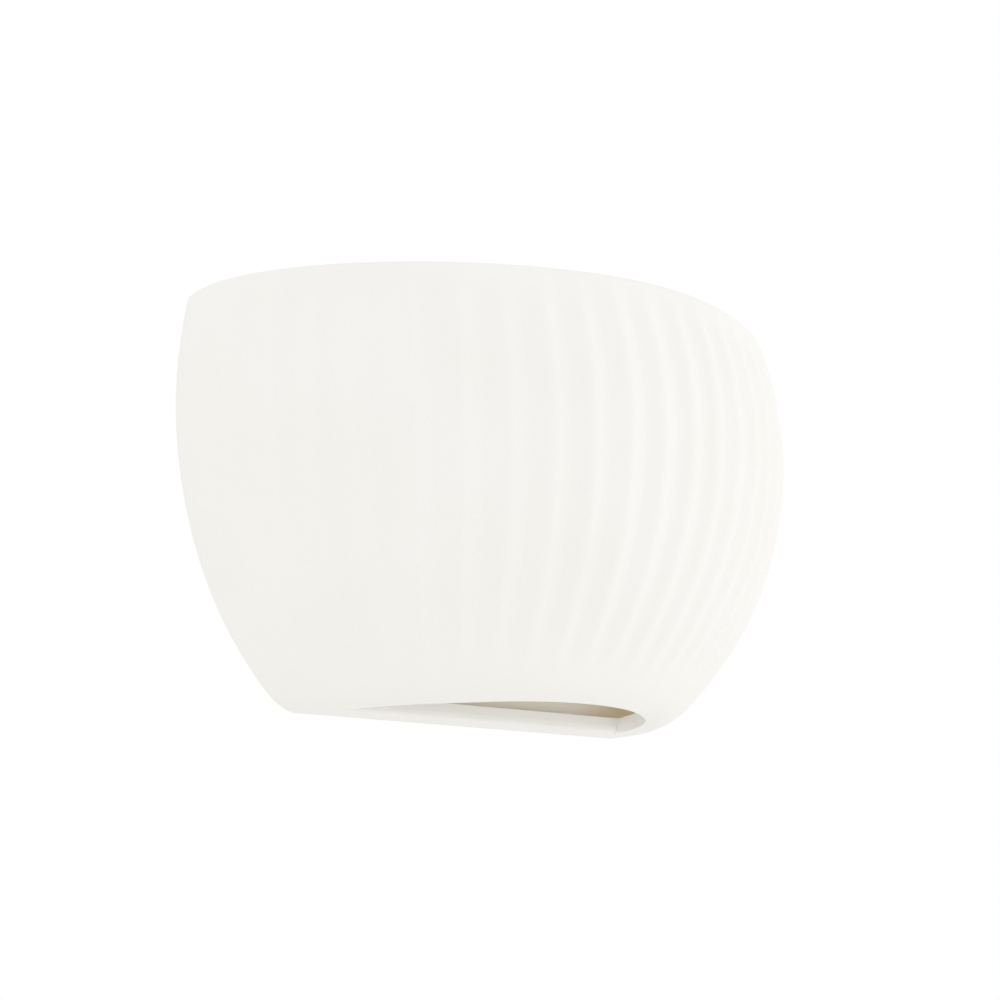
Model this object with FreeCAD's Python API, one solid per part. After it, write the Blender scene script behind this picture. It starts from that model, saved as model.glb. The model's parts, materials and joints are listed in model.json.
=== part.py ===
import FreeCAD, Part
import bisect
import math
import os

os.makedirs("parts", exist_ok=True)

# Millimetres. The wall is the plane y = 0, the light stands out of it towards -Y, +Z is up and
# the origin is the middle of the slots that fasten the mounting plate to the box in the wall.
# "depth" is always a distance out of the wall, so y = -depth.

# --- Shell: outline -----------------------------------------------------------------------
wall_height = 147.0        # height of the shell's flat back
lip_rise = 18.6            # the lip is this much higher at the front than at the wall
foot_rise = 6.0            # and the underside by this much
foot_half_width = 112.2    # half widths at the wall, from the underside up to the lip
flank_half_width = 145.3
waist_half_width = 166.9
belly_half_width = 174.4
lip_half_width = 167.4
foot_depth = 63.0          # depths of the front at the same levels
flank_depth = 84.7
waist_depth = 98.8
belly_depth = 100.6
lip_depth = 89.0
flank_level = 0.20         # the levels, as shares of the height
waist_level = 0.45
belly_level = 0.75
side_flare = 17.0          # degrees by which the sides open out where they leave the wall
side_fullness = 0.473      # how far the plan keeps to the side's direction
front_fullness = 0.527     # and to the front's
foot_curl = 7.2            # radius of the round edge under the shell
lip_round = 3.0            # radius of the lip's outer edge

# --- Shell: flutes ------------------------------------------------------------------------
flute_count = 22
flute_depth = 1.8          # crest to trough, cut inwards from the outline
crest_softness = 0.30      # 0 would leave sharp crests between the hollows
crowd_start = 0.07         # between these shares of the plan's length, from either wall, the
crowd_end = 0.17           # flutes are narrower, so that the outer ones stand off the wall
crowd_shift = 0.0288       # by this share
foot_band = 9.0            # smooth band above the underside
foot_fade = 13.0           # height over which the flutes rise out of it
lip_band = 3.5             # smooth band under the lip
lip_fade = 8.0

# --- Shell: walls and openings --------------------------------------------------------------
wall = 6.0                 # thickness of the fluted wall
floor = 6.0                # thickness of the floor
back_wall = 7.0            # thickness of the flat back
inner_curl = 6.0           # radius inside, where wall meets floor
ledge = 12.1               # floor left along the wall, behind the slot
slot_half_width = 94.3     # the slot in the floor is the front half of an oval
slot_depth = 59.6
ledge_round = 3.0          # rounding of the ledge's lower edge
window_corner = 14.0

# --- Mounting plate, on the box in the wall ---------------------------------------------------
box_spacing = 88.9         # between the box's two screws
box_slot_length = 12.0
box_slot_width = 4.8
mount_plate_width = 112.0
mount_plate_top = 12.0     # above the slots
mount_plate_bottom = 33.0  # below the slots
mount_plate_sheet = 1.6
mount_plate_corner = 6.0
stud_spacing = 60.0
stud_drop = 20.0           # the studs are this far below the box's screws
stud_radius = 2.5
stud_pitch = 0.8
nut_turns = 11             # turns that take a cap nut off its stud
hex_nut_flats = 8.0
hex_nut_height = 3.2

# --- Cover plate, inside the shell ---------------------------------------------------------
gasket_thickness = 1.0
cover_sheet = 1.2
cover_width = 190.0
cover_height = 112.0
cover_corner = 8.0
cover_seat_side = 20.0     # how far the plate lies on the shell's back, left and right
cover_seat_end = 6.0       # and above and below
cover_screw_inset = 9.0    # from the plate's edges to its four screws
cover_screw_radius = 2.0
cover_head_radius = 3.6
cover_head_height = 2.4
cover_nut_flats = 7.0
cover_nut_height = 2.8

# --- Cap nuts ---------------------------------------------------------------------------------
nut_neck_radius = 4.0
nut_radius = 8.0
nut_length = 11.5
nut_bevel = 0.8
nut_dome = 3.0             # length of its rounded end
nut_end_radius = 3.5
nut_knurls = 24
knurl_radius = 0.7
knurl_inset = 0.8          # plain band between bevel and knurls
stud_point = 0.4           # chamfer on the stud's end
bore_relief = 0.6          # the nut's bore is this much deeper than the stud reaches
washer_radius = 7.0
washer_thickness = 1.2

# --- Lampholder and its bracket ---------------------------------------------------------------
lamp_depth = 54.0          # the lamp's axis lies along X at this depth
lamp_level = 16.0          # and this far above the origin
holder_mouth = -42.0       # x of the lampholder's open end
holder_length = 38.0
holder_radius = 19.5
holder_neck = 12.0         # narrower stretch at the open end
holder_neck_step = 1.5     # how much narrower, and over what length it narrows
holder_well = 28.0
holder_bevel = 2.5
holder_lip = 1.2
sleeve_sheet = 0.5
sleeve_length = 23.0
thread_pitch = 3.63
thread_height = 0.6
bracket_sheet = 1.5
bracket_width = 28.0
bracket_foot = 22.0
bracket_overhang = 13.0    # the leg runs on past the lamp's axis
bracket_corner = 5.0
small_nut_flats = 5.5
small_nut_height = 2.4
small_screw_end = 3.4      # a screw's thread beyond the cover plate
small_screw_radius = 1.5
small_head_radius = 2.9
small_head_height = 1.9
holder_screw_offset = 9.5
holder_screw_grip = 7.0
contact_width = 6.0
contact_sheet = 0.5
contact_spring = 2.3       # height of the bent-up tongue over the well's floor
contact_reach = 8.0        # from the lamp's axis to the bend
contact_tail = 9.0         # and to the strip's flat end
contact_tongue = 3.0       # how far the tongue runs on past the axis
rivet_radius = 1.5
rivet_head_radius = 3.0
rivet_head_height = 1.0
rivet_recess = 3.0         # depth of its seat in the lampholder's back
rivet_recess_radius = 3.7
rivet_upset = 1.0          # how far its closed end spreads
rivet_upset_height = 0.6
sleeve_rise = 1.0          # the sleeve starts this far above the contact strip

# --- Lamp -----------------------------------------------------------------------------------
cap_radius = 13.2          # over the crests of the screw cap
cap_length = 22.0
cap_sheet = 0.5
cap_eye = 6.0              # radius of the hole for the insulator
cap_taper = 2.6            # its inner end is this much smaller
cap_shoulder = 1.5         # over this length
insulator_length = 3.2
tip_radius = 4.6
tip_length = 1.6
collar_length = 19.0
collar_radius = 19.5
globe_radius = 24.0
globe_length = 46.0
globe_waist = 0.45         # share of its length at which it is widest
globe_step = 0.8           # its foot is this much smaller than the collar
glass = 1.2
collar_sheet = 1.5
led_board_sheet = 1.5
led_count = 8
led_ring_radius = 10.5
led_side = 3.0
led_height = 0.8
driver_length = 25.0
driver_width = 16.0
driver_card = 1.6
capacitor_radius = 3.2
capacitor_length = 10.0
capacitor_start = 4.0      # from the card's inner end
capacitor_drop = 3.5       # below the card's middle
coil_radius = 3.0
coil_height = 6.0
coil_place = 17.0          # from the card's inner end
solder_sink = 0.3          # how far the parts' bodies are bedded into the card's solder

# --- Terminal block, leads and earth -----------------------------------------------------------
pole_spacing = 10.0
pole_count = 3
block_depth = 17.0
block_height = 16.0
block_level = -42.0        # z of the block's middle
first_pole = -72.0         # x of the line pole
clamp_side = 5.0
clamp_length = 12.0
clamp_bore = 1.7
block_head_radius = 2.0    # counterbore of the block's two fixing screws
block_head_sink = 4.0      # and its depth
clamp_screw_sink = 2.0     # the clamp screws lie this deep
clamp_screw_hole = 2.1     # radius of the holes over them
screw_slot_width = 0.6
screw_slot_depth = 0.9
tapped_screw_end = 3.0     # thread of a screw tapped into the cover plate, beyond it
lead_radius = 1.2
holder_entry = 4.0         # how far a lead goes into the lampholder
clamp_entry = 6.5          # and into the block
earth_x = -50.0
earth_level = 0.0
lug_radius = 4.2
lug_sheet = 0.8
lug_barrel = 6.0
lug_barrel_wall = 0.8
lug_neck_width = 3.2
lug_entry = 3.0            # how far the lead goes into the barrel
earth_washer_sheet = 0.8
grommet_x = -30.0
grommet_bore = 4.0
grommet_seat = 6.0
grommet_flange = 8.0
grommet_gap = 1.0          # between its flange and the window's lower edge
grommet_lip = 1.6
grommet_bevel = 0.8

# --- Clearances ---------------------------------------------------------------------------------
running = 0.05             # radial, between a thread or shaft and its hole
fit = 0.15                 # between pieces that are assembled once
free = 0.3                 # between pieces that part or turn
screw_clearance = 0.4      # radial, of a screw in a plain hole

# --- Worked out from the above --------------------------------------------------------------------
cover_back = back_wall + gasket_thickness
cover_front = cover_back + cover_sheet
stud_x = stud_spacing / 2
washer_back = cover_front + free
neck_back = washer_back + fit
nut_back = washer_back + washer_thickness + fit
thread_travel = nut_turns * stud_pitch
stud_end = neck_back + thread_travel
holder_back = holder_mouth - holder_length
sleeve_radius = cap_radius + running + sleeve_sheet + thread_height
holder_well_radius = sleeve_radius + running
lamp_tip_x = holder_mouth - holder_well + contact_spring + free
cap_start = tip_length + insulator_length
cap_end = cap_start + cap_length
collar_end = cap_end + collar_length
board_start = collar_end - led_board_sheet
board_radius = collar_radius - collar_sheet - fit
nut_recess = cover_nut_height + 2 * free
window_width = cover_width - 2 * cover_seat_side
window_height = cover_height - 2 * cover_seat_end
grommet_level = grommet_flange + grommet_gap - window_height / 2
lug_middle = cover_front + earth_washer_sheet + lug_sheet / 2 + lead_radius
well_floor = holder_mouth - holder_well
half_height = wall_height / 2
SIDES = (-1, 1)


def at(x, depth, z):
    """A point by its place along the wall, its depth out of the wall and its height."""
    return FreeCAD.Vector(x, -depth, z)


def block(low, high):
    """A box between two corners given as (x, depth, z)."""
    a, b = at(*low), at(*high)
    corner = FreeCAD.Vector(min(a.x, b.x), min(a.y, b.y), min(a.z, b.z))
    return Part.makeBox(abs(a.x - b.x), abs(a.y - b.y), abs(a.z - b.z), corner)


def rod(radius, start, end):
    """A round bar between two points."""
    run = end - start
    return Part.makeCylinder(radius, run.Length, start, run)


def tube(outer, inner, start, end):
    return rod(outer, start, end).cut(rod(inner, start, end))


def hexagon(flats, start, end):
    """A hexagonal bar between two points, by its width across flats."""
    run = end - start
    side = FreeCAD.Vector(0, 0, 1).cross(run)
    if side.Length == 0:
        side = FreeCAD.Vector(1, 0, 0)
    arm = side.normalize() * (flats / math.sqrt(3))
    corners = []
    for step in range(7):
        turn = FreeCAD.Rotation(run, 60.0 * step)
        corners.append(start + turn.multVec(arm))
    return Part.Face(Part.makePolygon(corners)).extrude(run)


def hex_nut(flats, bore, start, end):
    return hexagon(flats, start, end).cut(rod(bore, start, end))


def rounded_plate(width, low_z, high_z, corner, back, front, middle_x=0.0):
    """A plate parallel to the wall with four rounded corners."""
    plate = block((middle_x - width / 2, back, low_z), (middle_x + width / 2, front, high_z))
    upright = [e for e in plate.Edges if abs(e.BoundBox.YLength) > 0.5 * (front - back)]
    return plate.makeFillet(corner, upright)


def slotted_hole(length, width, x, z, back, front):
    """A hole with round ends, longer along X, through a sheet parallel to the wall."""
    reach = (length - width) / 2
    hole = block((x - reach, back, z - width / 2), (x + reach, front, z + width / 2))
    for side in SIDES:
        hole = hole.fuse(rod(width / 2, at(x + side * reach, back, z), at(x + side * reach, front, z)))
    return hole.removeSplitter()


def turned(points, origin, axis):
    """A solid of revolution. Points are (distance along the axis, radius), from end to end."""
    axis = FreeCAD.Vector(axis).normalize()
    out = FreeCAD.Vector(0, 0, 1)
    corners = [origin + axis * along + out * radius for along, radius in points]
    face = Part.Face(Part.makePolygon(corners + [corners[0]]))
    return face.revolve(origin, axis, 360)


def pan_screw(radius, grip, head_radius, head_height, seat, direction):
    """A screw whose head sits on the point seat and whose shank runs along direction."""
    direction = FreeCAD.Vector(direction).normalize()
    dome = [(0, 0), (0, head_radius), (-0.55 * head_height, head_radius),
            (-0.85 * head_height, 0.82 * head_radius), (-head_height, 0.5 * head_radius),
            (-head_height, 0)]
    screw = turned(dome, seat, direction).fuse(rod(radius, seat, seat + direction * grip))
    top = seat - direction * head_height
    recess = None
    for turn in (0, 90):
        bar = Part.makeBox(1.1 * head_radius, 0.24 * head_radius, 1.1 * head_height)
        bar.translate(FreeCAD.Vector(-0.55 * head_radius, -0.12 * head_radius, -0.55 * head_height))
        bar.rotate(FreeCAD.Vector(), FreeCAD.Vector(0, 0, 1), turn)
        recess = bar if recess is None else recess.fuse(bar)
    recess.Placement = FreeCAD.Placement(top, FreeCAD.Rotation(FreeCAD.Vector(0, 0, 1), direction))
    return screw.cut(recess)


def lead(route):
    """A wire along straight runs joined by arcs as large as the runs allow. Prints the radii."""
    edges, here, radii = [], route[0], []
    for before, corner, after in zip(route, route[1:], route[2:]):
        back, ahead = (before - corner), (after - corner)
        turn = math.pi - back.getAngle(ahead)
        cut_back = 0.45 * min(back.Length, ahead.Length)
        start = corner + back.normalize() * cut_back
        end = corner + ahead.normalize() * cut_back
        radius = cut_back / math.tan(turn / 2)
        inward = (back + ahead).normalize()
        middle = corner + inward * (radius / math.cos(turn / 2) - radius)
        edges += [Part.LineSegment(here, start).toShape(), Part.Arc(start, middle, end).toShape()]
        radii.append(round(radius, 1))
        here = end
    edges.append(Part.LineSegment(here, route[-1]).toShape())
    path = Part.Wire(edges)
    ring = Part.Wire(Part.Circle(route[0], route[1] - route[0], lead_radius).toShape())
    solid = path.makePipeShell([ring], True, False)
    expected = math.pi * lead_radius ** 2 * path.Length
    print("lead", round(path.Length, 1), "mm, radii", radii, "volume ratio",
          round(solid.Volume / expected, 4))
    return solid


# --- The shell's form -----------------------------------------------------------------------

def outline_curve():
    """Half width and depth as a smooth curve over the height, both in one curve."""
    stations = [(0.0, foot_half_width, foot_depth), (flank_level, flank_half_width, flank_depth),
                (waist_level, waist_half_width, waist_depth),
                (belly_level, belly_half_width, belly_depth), (1.0, lip_half_width, lip_depth)]
    curve = Part.BSplineCurve()
    curve.interpolate(Points=[FreeCAD.Vector(w, d, 0) for level, w, d in stations],
                      Parameters=[level for level, w, d in stations])
    return curve


OUTLINE = outline_curve()


def smooth_step(value):
    value = min(max(value, 0.0), 1.0)
    return value * value * (3 - 2 * value)


class Plan:
    """The shell's plan at one level: a curve from the wall round the front to the wall again,
    with half width and depth of its own. Its places are shares of its length."""

    HALF_STEPS = 40

    def __init__(self, half_width, depth):
        flare = math.radians(side_flare)
        side = (1 + side_fullness * math.sin(flare), side_fullness * math.cos(flare))
        self.poles = [(half_width * a, depth * b)
                      for a, b in ((1, 0), side, (front_fullness, 1), (0, 1))]
        steps = self.HALF_STEPS
        places = [self.quarter(step / steps)[:2] for step in range(steps + 1)]
        self.lengths = [0.0]
        for (x0, d0), (x1, d1) in zip(places, places[1:]):
            self.lengths.append(self.lengths[-1] + math.hypot(x1 - x0, d1 - d0))

    def quarter(self, t):
        """Half width, depth and outward direction at parameter t of the right-hand quarter."""
        weights = ((1 - t) ** 3, 3 * (1 - t) ** 2 * t, 3 * (1 - t) * t * t, t ** 3)
        x = sum(w * p[0] for w, p in zip(weights, self.poles))
        depth = sum(w * p[1] for w, p in zip(weights, self.poles))
        slopes = (3 * (1 - t) ** 2, 6 * (1 - t) * t, 3 * t * t)
        legs = [(b[0] - a[0], b[1] - a[1]) for a, b in zip(self.poles, self.poles[1:])]
        run_x = sum(s * leg[0] for s, leg in zip(slopes, legs))
        run_depth = sum(s * leg[1] for s, leg in zip(slopes, legs))
        size = math.hypot(run_x, run_depth)
        return x, depth, run_depth / size, -run_x / size

    def place(self, share, lift=0.0):
        """The point at a share of the length, moved outwards by lift: (x, depth)."""
        side = -1 if share < 0.5 else 1
        along = (2 * share if share < 0.5 else 2 * (1 - share)) * self.lengths[-1]
        step = min(max(bisect.bisect_right(self.lengths, along) - 1, 0), self.HALF_STEPS - 1)
        span = self.lengths[step + 1] - self.lengths[step]
        t = (step + (along - self.lengths[step]) / span) / self.HALF_STEPS
        x, depth, out_x, out_depth = self.quarter(t)
        return side * (x + lift * out_x), depth + lift * out_depth

    def share_at_depth(self, depth, lift):
        """The share, on the left side, where the curve moved by lift reaches this depth."""
        low, high = 0.0, 0.25
        for _ in range(30):
            middle = (low + high) / 2
            if self.place(middle, lift)[1] < depth:
                low = middle
            else:
                high = middle
        return high


def height(level, depth, full_depth):
    """z at a level: levels fan out between the sloping underside and the sloping lip."""
    share = depth / full_depth
    bottom = -half_height + foot_rise * share
    top = half_height + lip_rise * share
    return bottom + level * (top - bottom)


def foot_z(depth):
    """z of the underside's plane."""
    return height(0.0, depth, foot_depth)


def greville(count):
    """Where along the curve each pole of an even cubic spline pulls most, as shares."""
    last = count - 3
    knots = [min(max(i - 3, 0), last) for i in range(count + 4)]
    return [(knots[i + 1] + knots[i + 2] + knots[i + 3]) / (3.0 * last) for i in range(count)]


def spline_surface(poles):
    """A smooth surface from rows of poles; its parameters count the spans between them."""
    counts = (len(poles), len(poles[0]))
    knots = [[float(k) for k in range(n - 2)] for n in counts]
    mults = [[4] + [1] * (n - 4) + [4] for n in counts]
    surface = Part.BSplineSurface()
    surface.buildFromPolesMultsKnots(poles, mults[0], mults[1], knots[0], knots[1],
                                     False, False, 3, 3)
    return surface


def rounded_levels(low, high, low_round, high_round, spacing):
    """Levels from low to high with how far a rounded edge draws each one in."""
    rows = []
    turns = [math.radians(a) for a in (90, 75, 60, 42, 22)]
    for turn in turns:
        rows.append((low + low_round * (1 - math.sin(turn)), low_round * (1 - math.cos(turn))))
    start, end = low + low_round, high - high_round
    steps = max(int((end - start) / spacing), 2)
    rows += [(start + (end - start) * step / steps, 0.0) for step in range(steps + 1)]
    for turn in reversed(turns):
        rows.append((high - high_round * (1 - math.sin(turn)), high_round * (1 - math.cos(turn))))
    return rows


def flute_strength(above_foot, below_lip):
    return (smooth_step((above_foot - foot_band) / foot_fade)
            * smooth_step((below_lip - lip_band) / lip_fade))


def flute_hollow(share):
    """How deep a flute is at this share of the plan's length, from 0 on a crest to 1."""
    from_wall = min(share, 1 - share)
    shift = crowd_shift * (1 - smooth_step((from_wall - crowd_start) / (crowd_end - crowd_start)))
    phase = flute_count * (from_wall - shift)
    if phase < -0.5:
        return 0.0
    rise = math.hypot(math.cos(math.pi * phase), crest_softness) - crest_softness
    return rise / (math.hypot(1, crest_softness) - crest_softness)


SPANS_PER_FLUTE = 8
OUTER_ROW_SPACING = 5.0
INNER_ROW_SPACING = 9.0
INNER_POLES = 44


def outer_surface():
    """The fluted skin, one row of poles per level."""
    shares = greville(flute_count * SPANS_PER_FLUTE + 3)
    poles = []
    for up, inset in rounded_levels(0.0, wall_height, foot_curl, lip_round, OUTER_ROW_SPACING):
        level = up / wall_height
        full = OUTLINE.value(level)
        plan = Plan(full.x - inset, full.y - inset)
        strength = flute_strength(up, wall_height - up)
        row = []
        for share in shares:
            x, depth = plan.place(share, -flute_depth * strength * flute_hollow(share))
            if share in (0.0, 1.0):
                depth = 0.0
            row.append(at(x, depth, height(level, depth, full.y)))
        poles.append(row)
    return spline_surface(poles)


def inner_surface():
    """The smooth inside, from the floor's top to the lip, ending on the back wall's front."""
    poles = []
    shares = greville(INNER_POLES)
    for up, inset in rounded_levels(floor, wall_height, inner_curl, 0.0, INNER_ROW_SPACING):
        if up == wall_height and poles and poles[-1][0].z > height(1.0, back_wall, lip_depth) - 1e-6:
            continue
        level = up / wall_height
        full = OUTLINE.value(level)
        lean = (OUTLINE.value(min(level + 0.02, 1.0)) - OUTLINE.value(max(level - 0.02, 0.0)))
        rise = wall_height * (min(level + 0.02, 1.0) - max(level - 0.02, 0.0))
        slope = 0.5 * (lean.x + lean.y) / rise
        plan = Plan(full.x, full.y)
        offset = -wall * math.sqrt(1 + slope * slope) - inset
        first = plan.share_at_depth(back_wall, offset)
        row = []
        for place in shares:
            x, depth = plan.place(first + (1 - 2 * first) * place, offset)
            if place in (0.0, 1.0):
                depth = back_wall
            row.append(at(x, depth, height(level, depth, full.y)))
        poles.append(row)
    return spline_surface(poles)


def straight(start, end):
    return Part.LineSegment(start, end).toShape()


def sloping_face(edges):
    return Part.Face(Part.Wire(Part.__sortEdges__(edges)))


def cast_form():
    """The shell's solid before anything is cut into it: fluted skin, smooth inside, closed back,
    closed floor, open top."""
    outer, inner = outer_surface(), inner_surface()
    spans = flute_count * SPANS_PER_FLUTE
    rows = outer.NbUPoles - 3
    inner_rows, inner_spans = inner.NbUPoles - 3, inner.NbVPoles - 3
    faces, foot_edges, lip_edges = [], [], []
    for flute in range(flute_count):
        start, end = flute * SPANS_PER_FLUTE, (flute + 1) * SPANS_PER_FLUTE
        patch = outer.copy()
        patch.segment(0, rows, start, end)
        faces.append(patch.toShape())
        for edges, row in ((foot_edges, 0), (lip_edges, rows)):
            edge = outer.uIso(row)
            edge.segment(start, end)
            edges.append(edge.toShape())
    faces.append(inner.toShape())

    def corner(surface, row, column):
        return surface.value(row, column)

    foot_line = straight(corner(outer, 0, 0), corner(outer, 0, spans))
    lip_line = straight(corner(outer, rows, 0), corner(outer, rows, spans))
    sides = [outer.vIso(column).toShape() for column in (0, spans)]
    faces.append(sloping_face(foot_edges + [foot_line]))
    faces.append(sloping_face([foot_line, lip_line] + sides))

    floor_line = straight(corner(inner, 0, 0), corner(inner, 0, inner_spans))
    inner_lip_line = straight(corner(inner, inner_rows, 0), corner(inner, inner_rows, inner_spans))
    inner_sides = [inner.vIso(column).toShape() for column in (0, inner_spans)]
    floor_edge, inner_lip = inner.uIso(0).toShape(), inner.uIso(inner_rows).toShape()
    faces.append(sloping_face([floor_edge, floor_line]))
    faces.append(sloping_face([floor_line, inner_lip_line] + inner_sides))

    lip_outline = Part.Wire(Part.__sortEdges__(lip_edges + [lip_line]))
    lip_hole = Part.Wire(Part.__sortEdges__([inner_lip, inner_lip_line]))
    faces.append(Part.makeFace([lip_outline, lip_hole], "Part::FaceMakerBullseye"))

    skin = Part.Compound(faces)
    skin.sewShape(1e-4)
    return Part.Solid(skin.Shells[0])


def floor_slot():
    """The half-oval slot in the floor, cut straight up through floor and curled edge."""
    reach = 40.0
    oval = Part.Ellipse(FreeCAD.Vector(), slot_half_width, slot_depth)
    face = Part.Face(Part.Wire(oval.toShape()))
    prism = face.extrude(FreeCAD.Vector(0, 0, reach))
    prism.translate(at(0, 0, -half_height - reach / 2))
    wide = slot_half_width + 1
    front = block((-wide, ledge, -half_height - reach), (wide, slot_depth + 1, -half_height + reach))
    return prism.common(front)


def cover_screw_places():
    x = cover_width / 2 - cover_screw_inset
    z = cover_height / 2 - cover_screw_inset
    return [(sx * x, sz * z) for sx in SIDES for sz in SIDES]


def shell_body():
    shell = cast_form().cut(floor_slot())
    lower = [e for e in shell.Edges if e.BoundBox.XLength > slot_half_width
             and abs(e.CenterOfMass.y + ledge) < 0.01 and abs(e.CenterOfMass.z - foot_z(ledge)) < 0.01]
    shell = shell.makeFillet(ledge_round, lower)
    cuts = [rounded_plate(window_width, -window_height / 2, window_height / 2, window_corner,
                          -1, back_wall + 1)]
    for x, z in cover_screw_places():
        cuts.append(rod(cover_screw_radius + screw_clearance, at(x, -1, z), at(x, back_wall + 1, z)))
        cuts.append(hexagon(cover_nut_flats + 2 * free, at(x, -1, z), at(x, nut_recess, z)))
    return shell.cut(Part.Compound(cuts))


# --- Wall side --------------------------------------------------------------------------------

def mounting_plate():
    plate = rounded_plate(mount_plate_width, -mount_plate_bottom, mount_plate_top,
                          mount_plate_corner, 0, mount_plate_sheet)
    for side in SIDES:
        plate = plate.cut(slotted_hole(box_slot_length, box_slot_width, side * box_spacing / 2, 0,
                                       -1, mount_plate_sheet + 1))
        plate = plate.cut(rod(stud_radius + running, at(side * stud_x, -1, -stud_drop),
                              at(side * stud_x, mount_plate_sheet + 1, -stud_drop)))
    return plate


def shell_studs():
    studs = []
    for side in SIDES:
        stud = rod(stud_radius, at(side * stud_x, 0, -stud_drop),
                   at(side * stud_x, stud_end, -stud_drop))
        point = [e for e in stud.Edges if e.Closed and e.CenterOfMass.y < -stud_end + 0.1]
        studs.append(stud.makeChamfer(stud_point, point))
    return Part.Compound(studs)


def stud_nuts():
    back, front = mount_plate_sheet, mount_plate_sheet + hex_nut_height
    return Part.Compound([hex_nut(hex_nut_flats, stud_radius + running,
                                  at(side * stud_x, back, -stud_drop),
                                  at(side * stud_x, front, -stud_drop)) for side in SIDES])


# --- Cover plate and what fastens it ---------------------------------------------------------

def plate_gasket():
    low, high = -cover_height / 2, cover_height / 2
    gasket = rounded_plate(cover_width, low, high, cover_corner, back_wall, cover_back)
    gasket = gasket.cut(rounded_plate(window_width, -window_height / 2, window_height / 2,
                                      window_corner, back_wall - 1, cover_back + 1))
    for x, z in cover_screw_places():
        gasket = gasket.cut(rod(cover_screw_radius + screw_clearance,
                                at(x, back_wall - 1, z), at(x, cover_back + 1, z)))
    return gasket


def block_screw_places():
    """Between the poles of the terminal block."""
    return [(first_pole + pole_spacing * (gap + 0.5), block_level) for gap in range(pole_count - 1)]


def bracket_screw_places():
    x = holder_back + bracket_foot / 2
    return [(x, lamp_level + side * bracket_width / 4) for side in SIDES]


def cover_plate():
    low, high = -cover_height / 2, cover_height / 2
    plate = rounded_plate(cover_width, low, high, cover_corner, cover_back, cover_front)
    holes = [(x, z, cover_screw_radius + screw_clearance) for x, z in cover_screw_places()]
    holes += [(side * stud_x, -stud_drop, stud_radius + screw_clearance) for side in SIDES]
    holes += [(x, z, small_screw_radius + running) for x, z in block_screw_places()]
    holes += [(x, z, small_screw_radius + screw_clearance) for x, z in bracket_screw_places()]
    holes += [(earth_x, earth_level, cover_screw_radius + running)]
    holes += [(grommet_x, grommet_level, grommet_seat + running)]
    for x, z, radius in holes:
        plate = plate.cut(rod(radius, at(x, cover_back - 1, z), at(x, cover_front + 1, z)))
    return plate


def cover_screws():
    grip = cover_front - free
    return Part.Compound([pan_screw(cover_screw_radius, grip, cover_head_radius, cover_head_height,
                                    at(x, cover_front, z), (0, 1, 0))
                          for x, z in cover_screw_places()])


def cover_nuts():
    return Part.Compound([hex_nut(cover_nut_flats, cover_screw_radius + running,
                                  at(x, nut_recess - cover_nut_height, z), at(x, nut_recess, z))
                          for x, z in cover_screw_places()])


def cable_grommet():
    back, front = cover_back - grommet_lip, cover_front + grommet_lip
    waist = cover_sheet + 2 * running
    profile = [(0, grommet_bore), (0, grommet_flange), (grommet_lip - running, grommet_flange),
               (grommet_lip - running, grommet_seat), (grommet_lip - running + waist, grommet_seat),
               (grommet_lip - running + waist, grommet_flange),
               (front - back, grommet_flange - grommet_bevel),
               (front - back, grommet_bore)]
    return turned(profile, at(grommet_x, back, grommet_level), (0, -1, 0))


# --- Cap nuts ----------------------------------------------------------------------------------

def cap_nut(side):
    """A knurled blind nut with a neck that carries its washer."""
    here = at(side * stud_x, 0, -stud_drop)
    top = nut_back + nut_length
    shoulder = top - nut_dome
    body = [(neck_back, 0), (neck_back, nut_neck_radius), (nut_back, nut_neck_radius),
            (nut_back, nut_radius - nut_bevel), (nut_back + nut_bevel, nut_radius),
            (shoulder, nut_radius), (top - 0.27 * nut_dome, nut_radius - 2.0), (top, nut_end_radius),
            (top, 0)]
    nut = turned(body, here, (0, -1, 0))
    grooves = []
    knurl_middle = nut_radius + 0.3 * knurl_radius
    for step in range(nut_knurls):
        turn = 2 * math.pi * step / nut_knurls
        x = side * stud_x + knurl_middle * math.cos(turn)
        z = -stud_drop + knurl_middle * math.sin(turn)
        grooves.append(rod(knurl_radius, at(x, nut_back + nut_bevel + knurl_inset, z),
                           at(x, shoulder - knurl_inset / 2, z)))
    bore = rod(stud_radius + running, here + at(0, neck_back - 1, 0),
               here + at(0, stud_end + bore_relief, 0))
    return nut.cut(Part.Compound(grooves)).cut(bore)


def nut_washer(side):
    place = (side * stud_x, -stud_drop)
    return tube(washer_radius, nut_neck_radius + fit, at(place[0], washer_back, place[1]),
                at(place[0], washer_back + washer_thickness, place[1]))


# --- Bracket and lampholder ---------------------------------------------------------------------

def holder_screw_places():
    return [lamp_level + side * holder_screw_offset for side in SIDES]


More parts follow.
